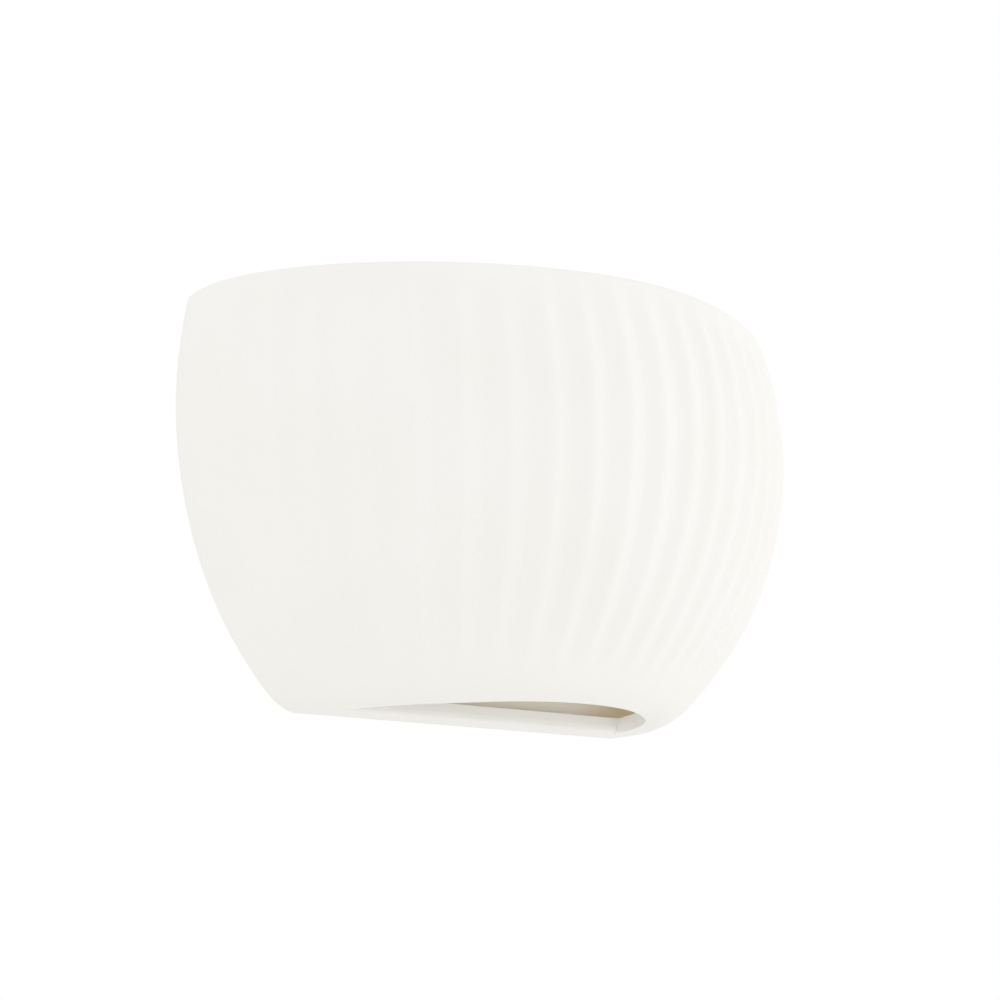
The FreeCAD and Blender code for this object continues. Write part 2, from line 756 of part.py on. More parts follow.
def socket_bracket():
    """An angle of sheet steel: a foot on the cover plate and a leg that carries the lampholder."""
    low, high = lamp_level - bracket_width / 2, lamp_level + bracket_width / 2
    leg_x = holder_back - bracket_sheet
    far = lamp_depth + bracket_overhang
    foot = block((leg_x, cover_front, low),
                 (holder_back + bracket_foot, cover_front + bracket_sheet, high))
    leg = block((leg_x, cover_front, low), (holder_back, far, high))
    bracket = foot.fuse(leg).removeSplitter()
    bend = [e for e in bracket.Edges if e.BoundBox.ZLength > 0.9 * bracket_width
            and abs(e.CenterOfMass.x - leg_x) < 0.01 and abs(e.CenterOfMass.y + cover_front) < 0.01]
    bracket = bracket.makeFillet(bracket_sheet, bend)
    tips = [e for e in bracket.Edges if e.BoundBox.XLength > 0.9 * bracket_sheet
            and abs(e.CenterOfMass.y + far) < 0.01]
    bracket = bracket.makeFillet(bracket_corner, tips)
    for x, z in bracket_screw_places():
        bracket = bracket.cut(rod(small_screw_radius + screw_clearance, at(x, cover_front - 1, z),
                                  at(x, cover_front + bracket_sheet + 1, z)))
    for z in holder_screw_places():
        bracket = bracket.cut(rod(small_screw_radius + screw_clearance,
                                  at(leg_x - 1, lamp_depth, z), at(holder_back + 1, lamp_depth, z)))
    return bracket


def bracket_screws():
    seat = cover_front + bracket_sheet
    grip = seat - cover_back + small_screw_end
    return Part.Compound([pan_screw(small_screw_radius, grip, small_head_radius,
                                    small_head_height, at(x, seat, z), (0, 1, 0))
                          for x, z in bracket_screw_places()])


def bracket_nuts():
    return Part.Compound([hex_nut(small_nut_flats, small_screw_radius + running,
                                  at(x, cover_back - small_nut_height, z), at(x, cover_back, z))
                          for x, z in bracket_screw_places()])


def lead_exits():
    """x of the two holes under the lampholder, over the first two poles of the block."""
    return [first_pole, first_pole + pole_spacing]


def lampholder_body():
    """Porcelain, turned about the lamp's axis, open towards +X."""
    length, neck = holder_length, holder_radius - holder_neck_step
    profile = [(0, 0), (0, holder_radius - holder_bevel), (holder_bevel, holder_radius),
               (length - holder_neck, holder_radius), (length - holder_neck + holder_neck_step, neck),
               (length - holder_lip, neck), (length, neck - holder_lip),
               (length, holder_well_radius + holder_lip / 2), (length - holder_lip, holder_well_radius),
               (length - holder_well, holder_well_radius), (length - holder_well, 0)]
    body = turned(profile, at(holder_back, lamp_depth, lamp_level), (1, 0, 0))
    cuts = [rod(rivet_radius + fit, at(holder_back - 1, lamp_depth, lamp_level),
                at(well_floor + 1, lamp_depth, lamp_level)),
            rod(rivet_recess_radius, at(holder_back - 1, lamp_depth, lamp_level),
                at(holder_back + rivet_recess, lamp_depth, lamp_level))]
    for z in holder_screw_places():
        cuts.append(rod(small_screw_radius + running, at(holder_back - 1, lamp_depth, z),
                        at(holder_back + holder_screw_grip, lamp_depth, z)))
    for x in lead_exits():
        cuts.append(rod(lead_radius + fit, at(x, lamp_depth, lamp_level - holder_radius - 1),
                        at(x, lamp_depth, lamp_level - holder_radius + holder_entry + fit)))
    return body.cut(Part.Compound(cuts))


def lampholder_screws():
    grip = bracket_sheet + holder_screw_grip - free
    return Part.Compound([pan_screw(small_screw_radius, grip, small_head_radius, small_head_height,
                                    at(holder_back - bracket_sheet, lamp_depth, z), (1, 0, 0))
                          for z in holder_screw_places()])


def thread_wave(start, length, radius, depth):
    """Rolled thread as a row of (distance, radius) points, crests at the given radius."""
    turns = int(length / thread_pitch)
    points = []
    for step in range(turns * 6 + 1):
        swing = 0.5 - 0.5 * math.cos(2 * math.pi * step / 6)
        points.append((start + step * thread_pitch / 6, radius - depth * (1 - swing)))
    return points


def lampholder_sleeve():
    """The threaded sleeve: sheet metal whose wave stays clear of the lamp's cap."""
    crests = thread_wave(2.0, sleeve_length - 2.0, sleeve_radius, thread_height)
    inner = [(along, radius - sleeve_sheet) for along, radius in crests]
    mouth = sleeve_radius - thread_height
    profile = ([(0, mouth)] + crests + [(sleeve_length, mouth), (sleeve_length, mouth - sleeve_sheet)]
               + inner[::-1] + [(0, mouth - sleeve_sheet)])
    start = well_floor + contact_sheet + sleeve_rise
    return turned(profile, at(start, lamp_depth, lamp_level), (1, 0, 0))


def lampholder_contact():
    """A strip on the floor of the well, bent back over itself to meet the lamp's tip."""
    low, high = lamp_level - contact_width / 2, lamp_level + contact_width / 2
    top, base = well_floor + contact_spring, well_floor + contact_sheet
    middle, bend, inner_bend = well_floor + contact_spring / 2, contact_reach, contact_reach - 0.2
    outside = [(well_floor, -contact_tail), (well_floor, bend), (middle, bend + 1.2), (top, bend),
               (top, -contact_tongue)]
    inside = [(top - contact_sheet, -contact_tongue), (top - contact_sheet, inner_bend),
              (middle, inner_bend + 0.8), (base, inner_bend), (base, -contact_tail)]
    corners = [at(x, lamp_depth + off, low) for x, off in outside + inside]
    contact = Part.Face(Part.makePolygon(corners + [corners[0]])).extrude(
        FreeCAD.Vector(0, 0, high - low))
    return contact.cut(rod(rivet_radius + fit, at(well_floor - 1, lamp_depth, lamp_level),
                           at(base + 0.2, lamp_depth, lamp_level)))


def contact_rivet():
    start = at(holder_back + rivet_recess - rivet_head_height, lamp_depth, lamp_level)
    length = well_floor + contact_sheet - start.x
    end = length + rivet_upset_height
    profile = [(0, 0), (0, rivet_head_radius), (rivet_head_height, rivet_head_radius),
               (rivet_head_height, rivet_radius), (length, rivet_radius),
               (length, rivet_radius + rivet_upset), (end, rivet_radius + 0.6 * rivet_upset), (end, 0)]
    return turned(profile, start, (1, 0, 0))


# --- Lamp ----------------------------------------------------------------------------------------

def on_lamp(distance):
    """A point on the lamp's axis, by its distance from the tip."""
    return at(lamp_tip_x + distance, lamp_depth, lamp_level)


def lamp_tip():
    return turned([(0, 0), (0, tip_radius - 1.2), (0.6, tip_radius), (tip_length, tip_radius),
                   (tip_length, 0)], on_lamp(0), (1, 0, 0))


def lamp_insulator():
    return turned([(0, 0), (0, tip_radius + 1.0), (insulator_length, cap_radius - cap_taper),
                   (insulator_length, 0)], on_lamp(tip_length), (1, 0, 0))


def lamp_cap():
    """The screw cap: rolled sheet, open inside."""
    crests = thread_wave(3.0, cap_length - 4.0, cap_radius, thread_height)
    inner = [(along, radius - cap_sheet) for along, radius in crests]
    root = cap_radius - thread_height
    end = cap_radius - cap_taper
    profile = ([(0, cap_eye), (0, end), (cap_shoulder, root)] + crests + [(cap_length, root)]
               + [(cap_length, root - cap_sheet)] + inner[::-1]
               + [(cap_shoulder + cap_sheet, root - cap_sheet), (cap_sheet, end - cap_sheet),
                  (cap_sheet, cap_eye)])
    return turned(profile, on_lamp(cap_start), (1, 0, 0))


def lamp_collar():
    """The moulded housing between screw cap and globe, hollow for the driver."""
    root = cap_radius - thread_height
    middle = 0.5 * (root + collar_radius) + 1.0
    skin = [(2.0, root + 1.6), (0.45 * collar_length, middle), (collar_length - 3.0, collar_radius),
            (collar_length, collar_radius)]
    inside = [(along, radius - collar_sheet) for along, radius in skin]
    ring = [(0, root - cap_sheet - 1.0), (0, root + 0.9)]
    return turned(ring + skin + inside[::-1], on_lamp(cap_end), (1, 0, 0))


def globe_points(radius, steps):
    """The globe's outline from its foot to its crown: a neck that swells into a round dome."""
    foot = collar_radius - globe_step - (globe_radius - radius)
    swell = globe_waist * globe_length
    points = []
    for step in range(steps + 1):
        turn = math.pi / 2 * step / steps
        along = swell * (1 - math.cos(turn))
        points.append((along, foot + (radius - foot) * math.sin(turn)))
    dome = globe_length - swell - (globe_radius - radius)
    for step in range(1, steps + 1):
        turn = math.pi / 2 * step / steps
        points.append((swell + dome * math.sin(turn), radius * math.cos(turn)))
    return points


def spline_outline(points):
    curve = Part.BSplineCurve()
    curve.interpolate([on_lamp(collar_end + along) + FreeCAD.Vector(0, 0, radius)
                       for along, radius in points])
    return curve.toShape()


def lamp_globe():
    """Opal diffuser: a thin dome over the board."""
    outer = globe_points(globe_radius, 6)
    inner = globe_points(globe_radius - glass, 6)
    edges = [spline_outline(outer), spline_outline(inner)]
    for a, b in ((outer[0], inner[0]), (outer[-1], inner[-1])):
        ends = [on_lamp(collar_end + along) + FreeCAD.Vector(0, 0, radius) for along, radius in (a, b)]
        edges.append(straight(*ends))
    face = Part.Face(Part.Wire(Part.__sortEdges__(edges)))
    return face.revolve(on_lamp(0), FreeCAD.Vector(1, 0, 0), 360)


def lamp_board():
    return rod(board_radius, on_lamp(board_start), on_lamp(board_start + led_board_sheet))


def lamp_leds():
    leds = []
    front = lamp_tip_x + board_start + led_board_sheet
    for step in range(led_count):
        turn = 2 * math.pi * step / led_count
        depth = lamp_depth + led_ring_radius * math.cos(turn)
        z = lamp_level + led_ring_radius * math.sin(turn)
        half = led_side / 2
        leds.append(block((front, depth - half, z - half), (front + led_height, depth + half, z + half)))
    return Part.Compound(leds)


def lamp_driver():
    """The driver's circuit board on edge, with its coil and capacitor, carried by the LED board."""
    end = lamp_tip_x + board_start
    start = end - driver_length
    face, half = driver_card / 2, driver_width / 2
    card = block((start, lamp_depth - face, lamp_level - half), (end, lamp_depth + face, lamp_level + half))
    depth = lamp_depth + face + capacitor_radius - solder_sink
    low = lamp_level - capacitor_drop
    capacitor = rod(capacitor_radius, at(start + capacitor_start, depth, low),
                    at(start + capacitor_start + capacitor_length, depth, low))
    coil = rod(coil_radius, at(start + coil_place, lamp_depth, lamp_level),
               at(start + coil_place, lamp_depth - face - coil_height, lamp_level))
    return card.fuse(capacitor).fuse(coil)


# --- Terminal block, leads and earth -------------------------------------------------------------

def poles():
    return [first_pole + pole_spacing * pole for pole in range(pole_count)]


def clamp_middle():
    return cover_front + block_depth / 2


def terminal_block():
    low_z, high_z = block_level - block_height / 2, block_level + block_height / 2
    half, front = pole_spacing / 2, cover_front + block_depth
    body = None
    for x in poles():
        cell = block((x - half, cover_front, low_z), (x + half, front, high_z))
        body = cell if body is None else body.fuse(cell)
    body = body.removeSplitter()
    cuts = []
    side, middle = clamp_side / 2 + fit, clamp_middle()
    for x in poles():
        length = clamp_length / 2 + fit
        cuts.append(block((x - side, middle - side, block_level - length),
                          (x + side, middle + side, block_level + length)))
        cuts.append(rod(lead_radius + fit, at(x, middle, low_z - 1), at(x, middle, high_z + 1)))
        for z in clamp_screw_levels():
            cuts.append(rod(clamp_screw_hole, at(x, middle, z), at(x, front + 1, z)))
    for x, z in block_screw_places():
        cuts.append(rod(small_screw_radius + fit, at(x, cover_front - 1, z), at(x, front, z)))
        cuts.append(rod(block_head_radius, at(x, front - block_head_sink, z), at(x, front + 1, z)))
    return body.cut(Part.Compound(cuts))


def clamp_screw_levels():
    return [block_level + side * clamp_length / 4 for side in SIDES]


def terminal_clamps():
    clamps = []
    half, middle = clamp_side / 2, clamp_middle()
    for x in poles():
        clamp = block((x - half, middle - half, block_level - clamp_length / 2),
                      (x + half, middle + half, block_level + clamp_length / 2))
        clamp = clamp.cut(rod(clamp_bore, at(x, middle, block_level - clamp_length),
                              at(x, middle, block_level + clamp_length)))
        for z in clamp_screw_levels():
            clamp = clamp.cut(rod(small_screw_radius + running, at(x, middle, z),
                                  at(x, middle + clamp_side, z)))
        clamps.append(clamp)
    return Part.Compound(clamps)


def terminal_screws():
    """Clamp screws: slotted studs that press on the leads."""
    screws = []
    start = clamp_middle() + lead_radius + fit
    end = cover_front + block_depth - clamp_screw_sink
    half = screw_slot_width / 2
    for x in poles():
        for z in clamp_screw_levels():
            screw = rod(small_screw_radius, at(x, start, z), at(x, end, z))
            slot = block((x - half, end - screw_slot_depth, z - clamp_side),
                         (x + half, end + 1, z + clamp_side))
            screws.append(screw.cut(slot))
    return Part.Compound(screws)


def block_screws():
    seat = cover_front + block_depth - block_head_sink
    grip = seat - cover_back + tapped_screw_end
    return Part.Compound([pan_screw(small_screw_radius, grip, block_head_radius - fit,
                                    small_head_height, at(x, seat, z), (0, 1, 0))
                          for x, z in block_screw_places()])


def holder_lead(pole):
    """From a hole under the lampholder down to the top of its pole."""
    x = first_pole + pole * pole_spacing
    top = block_level + block_height / 2
    under = lamp_level - holder_radius
    gap = under - top
    reach = lamp_depth - clamp_middle()
    return lead([at(x, lamp_depth, under + holder_entry), at(x, lamp_depth, under - 0.25 * gap),
                 at(x, lamp_depth - 0.5 * reach, under - 0.52 * gap),
                 at(x, clamp_middle(), under - 0.70 * gap), at(x, clamp_middle(), top - clamp_entry)])


def lead_line():
    return holder_lead(0)


def lead_neutral():
    return holder_lead(1)


def lead_earth():
    """From the third pole up to the lug on the cover plate."""
    x = first_pole + 2 * pole_spacing
    top = block_level + block_height / 2
    barrel = earth_level - lug_radius - lug_barrel
    gap = barrel - top
    return lead([at(x, clamp_middle(), top - clamp_entry), at(x, clamp_middle(), top + 0.35 * gap),
                 at(earth_x, lug_middle, barrel - 0.2 * gap),
                 at(earth_x, lug_middle, barrel + lug_entry)])


def earth_lug():
    """A ring under the earth screw with a barrel round the lead's end."""
    back = cover_front + earth_washer_sheet
    ring = tube(lug_radius, cover_screw_radius + fit, at(earth_x, back, earth_level),
                at(earth_x, back + lug_sheet, earth_level))
    ring_low = earth_level - lug_radius
    low, half = ring_low - lug_barrel, lug_neck_width / 2
    neck = block((earth_x - half, back, ring_low - 1.5), (earth_x + half, back + lug_sheet, ring_low + 1.0))
    barrel = rod(lead_radius + lug_barrel_wall, at(earth_x, lug_middle, low),
                 at(earth_x, lug_middle, ring_low - 1.0))
    barrel = barrel.cut(rod(lead_radius + running, at(earth_x, lug_middle, low - 1),
                            at(earth_x, lug_middle, low + lug_entry + running)))
    lug = ring.fuse(neck).fuse(barrel)
    behind = block((earth_x - lug_radius, back - lug_barrel, low - 1),
                   (earth_x + lug_radius, back, earth_level + lug_radius + 1))
    return lug.cut(behind).removeSplitter()


def earth_washer():
    return tube(lug_radius, cover_screw_radius + fit, at(earth_x, cover_front, earth_level),
                at(earth_x, cover_front + earth_washer_sheet, earth_level))


def earth_screw():
    seat = cover_front + earth_washer_sheet + lug_sheet
    return pan_screw(cover_screw_radius, seat - cover_back + tapped_screw_end, cover_head_radius,
                     cover_head_height, at(earth_x, seat, earth_level), (0, 1, 0))


NODES = {
    "shell_body": shell_body,
    "mounting_plate": mounting_plate,
    "shell_studs": shell_studs,
    "stud_nuts": stud_nuts,
    "plate_gasket": plate_gasket,
    "cover_plate": cover_plate,
    "cover_screws": cover_screws,
    "cover_nuts": cover_nuts,
    "cable_grommet": cable_grommet,
    "cap_nut_left": lambda: cap_nut(-1),
    "cap_nut_right": lambda: cap_nut(1),
    "nut_washer_left": lambda: nut_washer(-1),
    "nut_washer_right": lambda: nut_washer(1),
    "socket_bracket": socket_bracket,
    "bracket_screws": bracket_screws,
    "bracket_nuts": bracket_nuts,
    "lampholder_body": lampholder_body,
    "lampholder_screws": lampholder_screws,
    "lampholder_sleeve": lampholder_sleeve,
    "lampholder_contact": lampholder_contact,
    "contact_rivet": contact_rivet,
    "lamp_tip": lamp_tip,
    "lamp_insulator": lamp_insulator,
    "lamp_cap": lamp_cap,
    "lamp_collar": lamp_collar,
    "lamp_globe": lamp_globe,
    "lamp_board": lamp_board,
    "lamp_leds": lamp_leds,
    "lamp_driver": lamp_driver,
    "terminal_block": terminal_block,
    "terminal_clamps": terminal_clamps,
    "terminal_screws": terminal_screws,
    "block_screws": block_screws,
    "lead_line": lead_line,
    "lead_neutral": lead_neutral,
    "lead_earth": lead_earth,
    "earth_lug": earth_lug,
    "earth_washer": earth_washer,
    "earth_screw": earth_screw,
}

for name, make in NODES.items():
    shape = make()
    shape.exportStep(os.path.join("parts", name + ".step"))
    box = shape.BoundBox
    print(f"{name}: {len(shape.Solids)} solid(s), {'valid' if shape.isValid() else 'NOT VALID'}, "
          f"{shape.Volume / 1000:.2f} cm3, x {box.XMin:.1f}..{box.XMax:.1f} "
          f"y {box.YMin:.1f}..{box.YMax:.1f} z {box.ZMin:.1f}..{box.ZMax:.1f}")
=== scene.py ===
import json
import math
from functools import partial

import bpy
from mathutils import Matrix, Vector

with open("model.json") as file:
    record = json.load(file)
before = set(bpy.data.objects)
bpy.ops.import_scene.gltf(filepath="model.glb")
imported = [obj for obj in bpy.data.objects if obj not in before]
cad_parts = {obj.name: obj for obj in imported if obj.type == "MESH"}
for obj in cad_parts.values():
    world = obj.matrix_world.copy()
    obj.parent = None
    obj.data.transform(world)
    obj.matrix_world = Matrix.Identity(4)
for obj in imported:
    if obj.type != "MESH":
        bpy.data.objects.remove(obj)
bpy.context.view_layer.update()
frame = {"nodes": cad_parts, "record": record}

scene = bpy.context.scene

# --- Camera: from the left and a little below, as in the photograph -------------------------

VIEW_TURN = math.radians(-55.17)
VIEW_RISE = math.radians(-6.28)
VIEW_DISTANCE = 1.692
VIEW_TARGET = Vector((0.0273, 0.0, 0.0168))
SENSOR = 36.0
PIXELS_PER_RADIAN = 4304.5
FRAME_PIXELS = 1000


def add_camera():
    data = bpy.data.cameras.new("camera")
    data.sensor_width = SENSOR
    data.lens = SENSOR * PIXELS_PER_RADIAN / FRAME_PIXELS
    camera = bpy.data.objects.new("camera", data)
    scene.collection.objects.link(camera)
    back = Vector((math.sin(VIEW_TURN) * math.cos(VIEW_RISE),
                   -math.cos(VIEW_TURN) * math.cos(VIEW_RISE), math.sin(VIEW_RISE)))
    camera.location = VIEW_TARGET + back * VIEW_DISTANCE
    camera.rotation_euler = back.to_track_quat("Z", "Y").to_euler()
    scene.camera = camera


add_camera()


# --- Node trees: short ways to add and join nodes ----------------------------------------------

# Where most of a noise's values lie, and how deep fine and coarse surfaces are.
NOISE_SPAN = (0.3, 0.7)
FINE_RELIEF = 0.0002
COARSE_RELIEF = 0.0004


class Nodes:
    """The node tree of a new material. Lengths and places are in metres, in the object's frame."""

    def __init__(self):
        self.material = bpy.data.materials.new("finish")
        self.material.use_nodes = True
        self.tree = self.material.node_tree
        self.shader = self.tree.nodes["Principled BSDF"]
        self.place = self.add("ShaderNodeTexCoord").outputs["Object"]

    def add(self, kind, settings=None, **inputs):
        node = self.tree.nodes.new(kind)
        for key, value in (settings or {}).items():
            setattr(node, key, value)
        for key, value in inputs.items():
            self.set(node.inputs[key.replace("_", " ")], value)
        return node

    def set(self, socket, value):
        if isinstance(value, bpy.types.NodeSocket):
            self.tree.links.new(value, socket)
        else:
            socket.default_value = value

    def stretched(self, scale):
        mapping = self.add("ShaderNodeMapping", Vector=self.place, Scale=scale)
        return mapping.outputs["Vector"]

    def axes(self):
        return self.add("ShaderNodeSeparateXYZ", Vector=self.place).outputs

    def noise(self, scale, detail=3.0, place=None):
        node = self.add("ShaderNodeTexNoise", Vector=place or self.place, Scale=scale, Detail=detail)
        return node.outputs["Fac"]

    def cells(self, scale):
        return self.add("ShaderNodeTexVoronoi", Vector=self.place, Scale=scale).outputs["Distance"]

    def ramp(self, value, low, high, to_low=0.0, to_high=1.0):
        node = self.add("ShaderNodeMapRange", Value=value, From_Min=low, From_Max=high,
                        To_Min=to_low, To_Max=to_high)
        return node.outputs["Result"]

    def blend(self, factor, first, second):
        node = self.add("ShaderNodeMix", {"data_type": "RGBA"})
        self.set(node.inputs[0], factor)
        self.set(node.inputs[6], first)
        self.set(node.inputs[7], second)
        return node.outputs[2]

    def math(self, operation, first, second=0.0):
        node = self.add("ShaderNodeMath", {"operation": operation})
        self.set(node.inputs[0], first)
        self.set(node.inputs[1], second)
        return node.outputs[0]

    def vector_math(self, operation, first, second):
        node = self.add("ShaderNodeVectorMath", {"operation": operation})
        self.set(node.inputs[0], first)
        self.set(node.inputs[1], second)
        return node.outputs

    def bump(self, height, strength, distance, under=None):
        node = self.add("ShaderNodeBump", Height=height, Strength=strength, Distance=distance)
        if under is not None:
            self.set(node.inputs["Normal"], under)
        return node.outputs["Normal"]

    def finish(self, color, roughness, normal, **constants):
        self.set(self.shader.inputs["Base Color"], color)
        self.set(self.shader.inputs["Roughness"], roughness)
        self.set(self.shader.inputs["Normal"], normal)
        for key, value in constants.items():
            self.set(self.shader.inputs[key.replace("_", " ")], value)
        return self.material


def largest_of(tree, first, *others):
    """The largest of some outputs of 0 or 1, so 1 where any of them is."""
    for other in others:
        node = tree.nodes.new("ShaderNodeMath")
        node.operation = "MAXIMUM"
        tree.links.new(first, node.inputs[0])
        tree.links.new(other, node.inputs[1])
        first = node.outputs[0]
    return first


def seen_directly(tree):
    """1 for a ray from the camera, off something glossy or through something clear, 0 for light."""
    path = tree.nodes.new("ShaderNodeLightPath").outputs
    return largest_of(tree, path["Is Camera Ray"], path["Is Glossy Ray"], path["Is Transmission Ray"])


# --- Shell --------------------------------------------------------------------------------------

SHELL_OUTSIDE = ((0.911, 0.903, 0.880, 1), (0.899, 0.886, 0.856, 1))
SHELL_INSIDE = ((0.985, 0.955, 0.885, 1), (0.980, 0.935, 0.845, 1))
SHELL_SPECK = (0.80, 0.76, 0.70, 1)
# Painted light: the slot's low edges and ledge inside are drawn lighter than the rest of the inside.
PAINTED_SLOT_LIGHT = (0.970, 0.960, 0.935, 1)
# Painted shade: a warm tan laid on the low inside corners by the wall, at the shell's ends.
PAINTED_CORNER_SHADE = (0.93, 0.765, 0.540, 1)
SPECK_SHARE = 0.35
CORNER_SHADE_SHARE = 0.85

SHELL_MIDDLE = (0.0, -0.03, -0.02)
FACING_INSIDE = (-0.002, -0.008)
WALL_SIDE_ENDS = (-0.0105, -0.0085)
# Where the painted light on the slot's low edges starts, downwards.
SLOT_LIGHT_STARTS = (-0.060, -0.065)
# Where the painted corner shade starts, downwards and outwards.
CORNER_SHADE_STARTS_DOWN = (-0.040, -0.062)
CORNER_SHADE_STARTS_OUT = (0.066, 0.102)


def shell_outside(n):
    """Warm white in slow clouds, with a few dark specks."""
    color = n.blend(n.ramp(n.noise(scale=14.0, detail=4.0), 0.35, 0.68), *SHELL_OUTSIDE)
    speck = n.ramp(n.noise(scale=1500.0, detail=2.0), 0.68, 0.80)
    return n.blend(n.math("MULTIPLY", speck, SPECK_SHARE), color, SHELL_SPECK)


def shell_inside(n):
    """Creamier, with painted light on the slot's edges and painted shade in tan by the wall in the low
    corners.
    """
    color = n.blend(n.noise(scale=22.0, detail=4.0), *SHELL_INSIDE)
    axes = n.axes()
    by_wall = n.ramp(axes["Y"], *WALL_SIDE_ENDS)
    # Painted light: lighter on the low inside faces away from the wall, the slot's edges and ledge.
    painted_slot_light = n.math("MULTIPLY", n.math("SUBTRACT", 1.0, by_wall),
                       n.ramp(axes["Z"], *SLOT_LIGHT_STARTS))
    color = n.blend(painted_slot_light, color, PAINTED_SLOT_LIGHT)
    # Painted shade: warm tan in the low corners at the ends, by the wall.
    corner_shade = n.math("MULTIPLY", n.ramp(n.math("ABSOLUTE", axes["X"]), *CORNER_SHADE_STARTS_OUT),
                    n.ramp(axes["Z"], *CORNER_SHADE_STARTS_DOWN))
    corner_shade = n.math("MULTIPLY", corner_shade, by_wall)
    return n.blend(n.math("MULTIPLY", corner_shade, CORNER_SHADE_SHARE), color, PAINTED_CORNER_SHADE)


def cast_shell():
    """Matte, fine-grained casting. A face that looks at the shell's middle is inside."""
    n = Nodes()
    from_middle = n.vector_math("SUBTRACT", n.place, SHELL_MIDDLE)["Vector"]
    normal = n.add("ShaderNodeNewGeometry").outputs["Normal"]
    facing = n.vector_math("DOT_PRODUCT", normal, from_middle)["Value"]
    color = n.blend(n.ramp(facing, *FACING_INSIDE), shell_outside(n), shell_inside(n))
    grain = n.noise(scale=900.0, detail=5.0)
    pores = n.ramp(n.cells(scale=520.0), 0.0, 0.16)
    rough = n.bump(grain, strength=0.22, distance=COARSE_RELIEF)
    return n.finish(color, n.ramp(grain, *NOISE_SPAN, 0.62, 0.82),
                    n.bump(pores, strength=0.10, distance=FINE_RELIEF, under=rough),
                    Specular_IOR_Level=0.35)


# --- Other finishes -----------------------------------------------------------------------------

ACROSS_Z = (900.0, 900.0, 60.0)
ROUND_X = (60.0, 900.0, 900.0)
ROUND_Y = (80.0, 3000.0, 80.0)
GLAZE_SPECK = (0.50, 0.42, 0.33, 1)
GLAZE_WAVE = 0.0006


def tint(color, factor):
    return tuple(min(channel * factor, 1.0) for channel in color[:3]) + (1.0,)


def metal(color, roughness=0.32, brush=ACROSS_Z, wear=0.25):
    """Bare metal with fine tool lines. The brush is finest along the axes with the largest values."""
    n = Nodes()
    lines = n.noise(scale=1.0, detail=4.0, place=n.stretched(brush))
    cloud = n.noise(scale=60.0)
    shade = n.blend(n.ramp(cloud, *NOISE_SPAN, 0.0, wear), color, tint(color, 0.62))
    return n.finish(shade, n.ramp(lines, *NOISE_SPAN, roughness - 0.08, roughness + 0.12),
                    n.bump(lines, strength=0.12, distance=FINE_RELIEF), Metallic=1.0)


def zinc(color):
    """Zinc plate with its faint spangle."""
    n = Nodes()
    spangle = n.cells(scale=330.0)
    cloud = n.noise(scale=400.0)
    shade = n.blend(n.ramp(spangle, 0.1, 0.9), tint(color, 1.04), tint(color, 0.92))
    return n.finish(shade, n.ramp(n.math("ADD", spangle, cloud), 0.4, 1.3, 0.34, 0.55),
                    n.bump(cloud, strength=0.10, distance=FINE_RELIEF), Metallic=1.0)


def moulded(color, roughness=0.5, grain=1400.0, depth=0.10, coat=0.0):
    """Moulded or painted: a faint cloud in the colour and a fine skin."""
    n = Nodes()
    skin = n.noise(scale=grain, detail=4.0)
    shade = n.blend(n.ramp(n.noise(scale=35.0), *NOISE_SPAN), tint(color, 1.03), tint(color, 0.93))
    return n.finish(shade, n.ramp(skin, *NOISE_SPAN, roughness - 0.06, roughness + 0.10),
                    n.bump(skin, strength=depth, distance=FINE_RELIEF), Coat_Weight=coat, Coat_Roughness=0.12)


def foam(color):
    """Closed-cell foam, with painted shade that darkens its pores."""
    n = Nodes()
    pores = n.cells(scale=1600.0)
    # Painted shade: each pore darker towards its middle, where the bump sinks.
    shade = n.blend(n.ramp(pores, 0.15, 0.7), tint(color, 0.5), tint(color, 1.35))
    return n.finish(shade, n.ramp(pores, 0.1, 0.7, 0.95, 0.8),
                    n.bump(pores, strength=0.6, distance=COARSE_RELIEF))


def glazed(color):
    """White glaze with the odd iron speck and a slow wave."""
    n = Nodes()
    speck = n.ramp(n.noise(scale=700.0, detail=1.0), 0.74, 0.80)
    cloud = n.noise(scale=45.0)
    shade = n.blend(n.ramp(cloud, *NOISE_SPAN), tint(color, 1.02), tint(color, 0.95))
    shade = n.blend(n.math("MULTIPLY", speck, 0.5), shade, GLAZE_SPECK)
    return n.finish(shade, n.ramp(cloud, *NOISE_SPAN, 0.16, 0.26),
                    n.bump(cloud, strength=0.25, distance=GLAZE_WAVE), Coat_Weight=0.6, Coat_Roughness=0.06)


def opal(color):
    """Milky plastic that light sinks into a little."""
    n = Nodes()
    cloud = n.noise(scale=30.0)
    skin = n.noise(scale=1200.0)
    shade = n.blend(n.ramp(cloud, *NOISE_SPAN), tint(color, 1.02), tint(color, 0.96))
    return n.finish(shade, n.ramp(skin, *NOISE_SPAN, 0.34, 0.46),
                    n.bump(skin, strength=0.06, distance=FINE_RELIEF),
                    Subsurface_Weight=0.25, Subsurface_Scale=0.006)


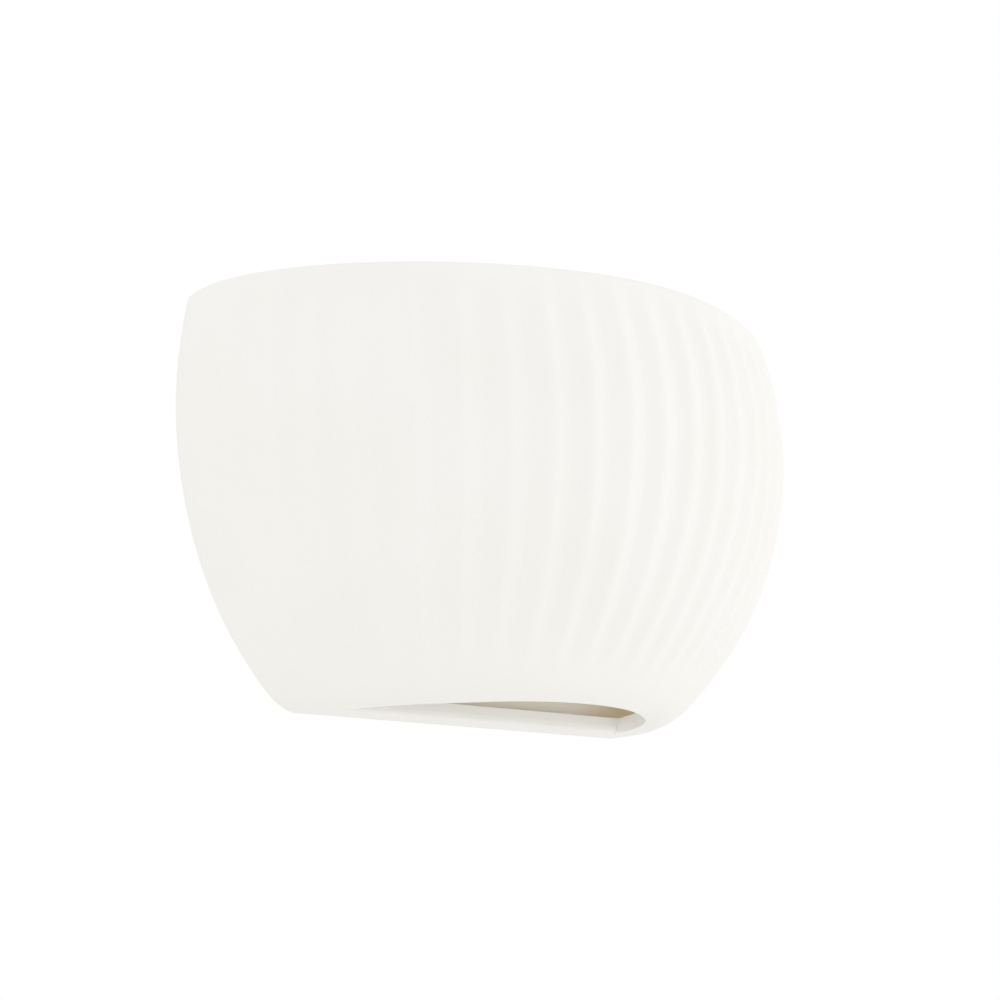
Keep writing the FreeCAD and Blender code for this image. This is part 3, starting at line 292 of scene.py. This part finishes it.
FINISHES = {
    "cast_shell": cast_shell,
    "zinc_steel": partial(zinc, (0.60, 0.61, 0.61, 1)),
    "bright_steel": partial(metal, (0.68, 0.68, 0.67, 1), 0.28),
    "foam_rubber": partial(foam, (0.05, 0.05, 0.05, 1)),
    "white_plate": partial(moulded, (0.88, 0.88, 0.86, 1), 0.38, grain=900.0, depth=0.22),
    "black_rubber": partial(moulded, (0.035, 0.035, 0.035, 1), 0.68, grain=1500.0, depth=0.2),
    "porcelain": partial(glazed, (0.86, 0.86, 0.83, 1)),
    "sleeve_metal": partial(metal, (0.72, 0.70, 0.66, 1), 0.26, brush=ROUND_X),
    "contact_brass": partial(metal, (0.74, 0.55, 0.26, 1), 0.24),
    "block_plastic": partial(moulded, (0.80, 0.79, 0.76, 1), 0.46),
    "lead_black": partial(moulded, (0.02, 0.02, 0.022, 1), 0.42),
    "lead_white": partial(moulded, (0.82, 0.82, 0.79, 1), 0.42),
    "lead_green": partial(moulded, (0.03, 0.26, 0.08, 1), 0.42),
    "tinned_copper": partial(metal, (0.70, 0.69, 0.66, 1), 0.30),
    "green_screw": partial(moulded, (0.03, 0.24, 0.09, 1), 0.30, coat=0.4),
    "fibre": partial(moulded, (0.36, 0.10, 0.06, 1), 0.60, grain=700.0, depth=0.25),
    "knurled_brass": partial(metal, (0.88, 0.68, 0.34, 1), 0.22, brush=ROUND_Y, wear=0.05),
    "solder": partial(metal, (0.66, 0.66, 0.67, 1), 0.30),
    "black_glass": partial(moulded, (0.02, 0.02, 0.025, 1), 0.16, grain=300.0, depth=0.08, coat=0.5),
    "lamp_cap_metal": partial(metal, (0.77, 0.76, 0.74, 1), 0.26, brush=ROUND_X),
    "lamp_plastic": partial(moulded, (0.86, 0.86, 0.85, 1), 0.34),
    "opal_plastic": partial(opal, (0.90, 0.90, 0.87, 1)),
    "board_white": partial(moulded, (0.84, 0.85, 0.83, 1), 0.32),
    "led_phosphor": partial(moulded, (0.85, 0.68, 0.14, 1), 0.34, grain=2500.0, depth=0.3),
    "board_green": partial(moulded, (0.03, 0.16, 0.06, 1), 0.35),
}


def make_finish(slot):
    material = FINISHES[slot]()
    material.name = slot
    return material


def dress_nodes():
    """Every CAD piece gets the finish of its material slot."""
    finishes = {slot: make_finish(slot) for slot in FINISHES}
    for part in frame["record"]["subparts"]:
        for slot in frame["nodes"][part["node"]].material_slots:
            slot.material = finishes[part["material_slot"]]


dress_nodes()


# --- Studio: even light all round, with one light that rakes the flutes from the right ----------

WHITE = (1.0, 1.0, 1.0, 1)
FLOOR_SHADE = (0.94, 0.93, 0.91, 1)
FLOOR_LEVEL = -0.75
FLOOR_REACH = 3.0
WORLD_LEVEL = 0.98
LIGHTS = {
    "right": {"place": (1.78, -1.0, 0.15), "size": 1.0, "power": 5.0},
    "left": {"place": (-1.9, -0.4, -0.1), "size": 1.2, "power": 1.2},
}


def seen_white(shade):
    """Pale matt surface that looks plain white to the camera and in reflections."""
    n = Nodes()
    n.tree.nodes.remove(n.shader)
    matt = n.add("ShaderNodeBsdfDiffuse", Color=shade)
    glow = n.add("ShaderNodeEmission", Color=WHITE, Strength=1.0)
    mix = n.add("ShaderNodeMixShader")
    n.set(mix.inputs[0], seen_directly(n.tree))
    n.set(mix.inputs[1], matt.outputs[0])
    n.set(mix.inputs[2], glow.outputs[0])
    n.set(n.tree.nodes["Material Output"].inputs["Surface"], mix.outputs[0])
    n.material.name = "studio"
    return n.material


def add_floor():
    corners = [(-1, -1), (1, -1), (1, 1), (-1, 1)]
    mesh = bpy.data.meshes.new("floor")
    mesh.from_pydata([(x * FLOOR_REACH, y * FLOOR_REACH, FLOOR_LEVEL) for x, y in corners],
                     [], [(0, 1, 2, 3)])
    mesh.materials.append(seen_white(FLOOR_SHADE))
    floor = bpy.data.objects.new("floor", mesh)
    scene.collection.objects.link(floor)


def add_light(name, place, size, power):
    data = bpy.data.lights.new(name, "AREA")
    data.shape = "SQUARE"
    data.size = size
    data.energy = power
    light = bpy.data.objects.new(name, data)
    scene.collection.objects.link(light)
    light.location = place
    light.rotation_euler = (Vector(place) - VIEW_TARGET).to_track_quat("Z", "Y").to_euler()


def add_world():
    """White to look at, and a little less as light."""
    scene.world = bpy.data.worlds.new("studio")
    scene.world.use_nodes = True
    tree = scene.world.node_tree
    background = tree.nodes["Background"].inputs
    strength = tree.nodes.new("ShaderNodeMapRange")
    strength.inputs["To Min"].default_value = WORLD_LEVEL
    strength.inputs["To Max"].default_value = 1.0
    tree.links.new(seen_directly(tree), strength.inputs["Value"])
    tree.links.new(strength.outputs["Result"], background["Strength"])
    background["Color"].default_value = WHITE


add_floor()
add_world()
for name, settings in LIGHTS.items():
    add_light(name, **settings)

scene.view_settings.view_transform = "Standard"
